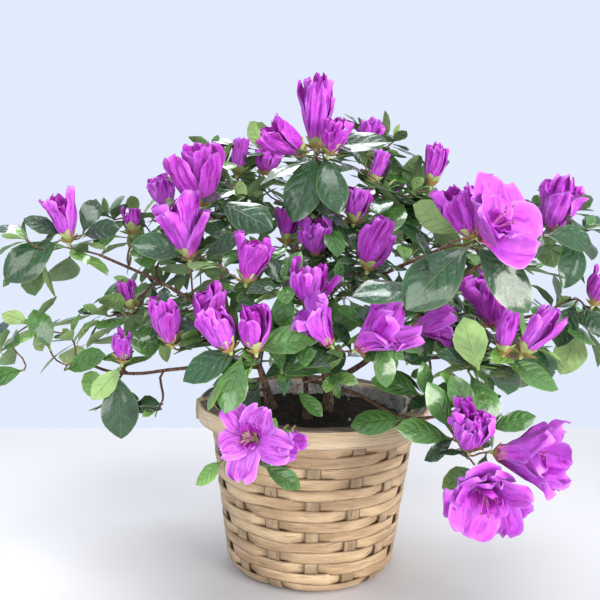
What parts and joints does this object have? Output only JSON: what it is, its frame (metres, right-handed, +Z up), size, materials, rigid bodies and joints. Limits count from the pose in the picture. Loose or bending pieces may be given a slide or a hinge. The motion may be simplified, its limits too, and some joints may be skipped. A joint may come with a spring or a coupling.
{
  "type": "azalea shrub in basket planter",
  "caption": "Flowering azalea shrub on slender forking stems, rooted in a lined woven bamboo basket that stands on its flat underside.",
  "frame": {"origin": "centre of the basket's flat underside", "axes": "+Z up, from the floor towards the crown; -Y towards the shrub's front, the side with the hanging blooms; +X towards its right as seen from the front"},
  "size_m": [0.423, 0.304, 0.333],
  "materials": {
    "bamboo": "split bamboo, satin, woven",
    "rim": "split bamboo hoops, satin",
    "liner": "thin pale plastic",
    "soil": "damp peat with white grains",
    "bark": "rough grey-brown bark",
    "young_bark": "smooth red-brown bark",
    "foliage": "glossy evergreen leaves",
    "young_leaf": "soft yellow-green leaves, stalks and bud scales",
    "blossom": "thin crinkled magenta-purple petals"
  },
  "bodies": {
    "root": {"basket_floor": "bamboo", "basket_rim": "rim", "basket_wall": "bamboo", "bough_front_high": "young_bark", "bough_front_low": "young_bark", "bough_hanging_front": "young_bark", "bough_hanging_right": "young_bark", "bough_left_arching": "young_bark", "bough_left_long": "young_bark", "bough_rear_high": "young_bark", "bough_rear_left": "young_bark", "bough_rear_right": "young_bark", "bough_right": "young_bark", "bough_right_long": "young_bark", "bough_right_low": "young_bark", "bough_right_shoulder": "young_bark", "bough_top": "young_bark", "bough_upper_left": "young_bark", "grow_pot": "liner", "mass_front_centre": "foliage", "mass_front_high_right": "foliage", "mass_front_left": "foliage", "mass_front_low_left": "foliage", "mass_front_low_right": "foliage", "mass_front_mid_left": "foliage", "mass_front_skirt": "foliage", "mass_hanging_blooms": "foliage", "mass_hanging_front": "foliage", "mass_hanging_leaves": "foliage", "mass_left_arching": "foliage", "mass_left_back": "foliage", "mass_left_low": "foliage", "mass_left_middle": "foliage", "mass_left_shoulder": "foliage", "mass_left_tip": "foliage", "mass_mid_right": "foliage", "mass_rear_high": "foliage", "mass_rear_left_high": "foliage", "mass_rear_left_low": "foliage", "mass_rear_middle": "foliage", "mass_rear_right_high": "foliage", "mass_rear_right_low": "foliage", "mass_rear_skirt": "foliage", "mass_right_back": "foliage", "mass_right_low": "foliage", "mass_right_middle": "foliage", "mass_right_shoulder": "foliage", "mass_right_skirt": "foliage", "mass_right_tip": "foliage", "mass_top": "foliage", "mass_top_back_left": "foliage", "mass_top_back_right": "foliage", "mass_upper_centre": "foliage", "mass_upper_left": "foliage", "mass_upper_right": "foliage", "soil": "soil", "stem_centre": "bark", "stem_front": "bark", "stem_left": "bark", "stem_rear": "bark"}
  },
  "joints": []
}
